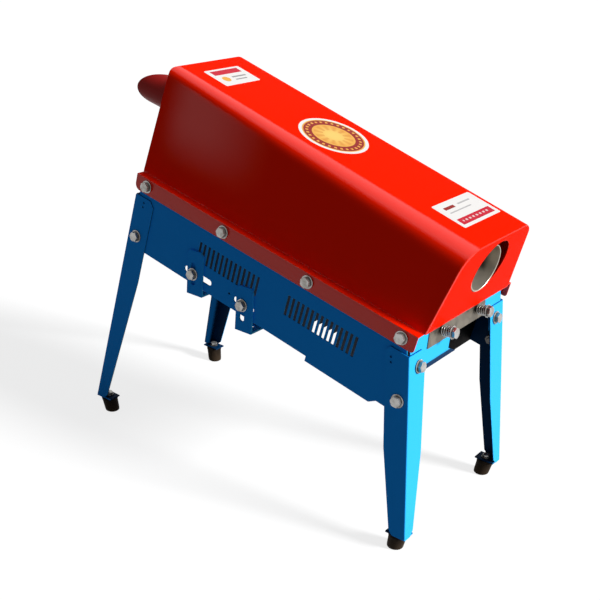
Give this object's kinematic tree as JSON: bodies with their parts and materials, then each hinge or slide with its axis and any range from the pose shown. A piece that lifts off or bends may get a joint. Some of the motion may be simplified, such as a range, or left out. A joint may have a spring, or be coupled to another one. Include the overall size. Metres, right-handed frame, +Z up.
{
  "type": "corn sheller",
  "caption": "Household corn sheller with a sloping red cover, a feed pipe, a round cob outlet, louvred blue panels, splayed sheet legs and slotted motor hangers.",
  "frame": {"origin": "on the floor, under the middle of the machine's outline", "axes": "+X along the machine towards the cob outlet, -Y towards the side with the motor hangers, +Z up"},
  "size_m": [0.6182, 0.2748, 0.5624],
  "materials": {
    "black_paint": "matte black enamel",
    "black_rubber": "moulded, slightly shiny",
    "blue_paint": "satin blue enamel",
    "cast_iron": "rough cast, ground on the running faces",
    "galvanised": "dull galvanised sheet",
    "red_paint": "glossy red enamel",
    "steel": "plain turned or rolled steel",
    "zinc": "bright zinc plate"
  },
  "bodies": {
    "frame": {"bearing_beam": "black_paint", "bearing_housing_left": "cast_iron", "bearing_housing_right": "cast_iron", "bearing_left": "zinc", "bearing_right": "zinc", "concave_screen": "steel", "ear_guide": "galvanised", "end_curtain": "black_rubber", "feed_spout": "red_paint", "flange_bolt_front_1": "zinc", "flange_bolt_front_2": "zinc", "flange_bolt_front_3": "zinc", "flange_bolt_front_4": "zinc", "flange_bolt_rear_1": "zinc", "flange_bolt_rear_2": "zinc", "flange_bolt_rear_3": "zinc", "flange_bolt_rear_4": "zinc", "foot_bolt_front_left": "zinc", "foot_bolt_front_right": "zinc", "foot_bolt_rear_left": "zinc", "foot_bolt_rear_right": "zinc", "foot_front_left": "black_rubber", "foot_front_right": "black_rubber", "foot_rear_left": "black_rubber", "foot_rear_right": "black_rubber", "front_panel": "blue_paint", "hood": "red_paint", "left_end_plate": "blue_paint", "leg_end_bolt_front_left": "zinc", "leg_end_bolt_front_right": "zinc", "leg_end_bolt_rear_left": "zinc", "leg_end_bolt_rear_right": "zinc", "leg_front_left": "blue_paint", "leg_front_right": "blue_paint", "leg_rear_left": "blue_paint", "leg_rear_right": "blue_paint", "leg_side_bolt_front_left": "zinc", "leg_side_bolt_front_right": "zinc", "leg_side_bolt_rear_left": "zinc", "leg_side_bolt_rear_right": "zinc", "outlet_tube": "galvanised", "rear_panel": "blue_paint", "right_end_plate": "blue_paint", "spring_front": "zinc", "spring_rear": "zinc", "spring_screw_front": "zinc", "spring_screw_rear": "zinc"},
    "rotor": {"rotor_shaft": "steel", "shelling_drum": "cast_iron", "driven_pulley": "cast_iron", "pulley_nut": "zinc"},
    "clamp_left": {"bracket_bolt_left": "zinc"},
    "clamp_right": {"bracket_bolt_right": "zinc"},
    "hanger_left": {"motor_bracket_left": "blue_paint"},
    "hanger_right": {"motor_bracket_right": "blue_paint"},
    "sprung_plate": {"pressure_plate": "galvanised"}
  },
  "joints": [
    {"name": "rotor_spin", "type": "hinge", "parent": "frame", "child": "rotor", "pos_m": [0.02532, 0.00838, 0.34777], "axis": [0.9776, 0, -0.2103], "continuous": true},
    {"name": "clamp_left_slide", "type": "slide", "parent": "frame", "child": "clamp_left", "axis": [0.9776, 0, -0.2103], "range_m": [-0.0149, 0.0285]},
    {"name": "hanger_left_slide", "type": "slide", "parent": "clamp_left", "child": "hanger_left", "axis": [0, 0.044, 0.999], "range_m": [-0.0125, 0.006]},
    {"name": "clamp_right_slide", "type": "slide", "parent": "frame", "child": "clamp_right", "axis": [0.9776, 0, -0.2103], "range_m": [-0.0142, 0.0142]},
    {"name": "hanger_right_slide", "type": "slide", "parent": "clamp_right", "child": "hanger_right", "axis": [0, 0.044, 0.999], "range_m": [-0.005, 0.013]},
    {"name": "sprung_plate_slide", "type": "slide", "parent": "frame", "child": "sprung_plate", "axis": [0.9952, 0, 0.0977], "range_m": [0, 0.004], "stiffness_N_per_m": 1500, "springref_m": -0.004, "deforming": ["spring_front", "spring_rear"]}
  ]
}
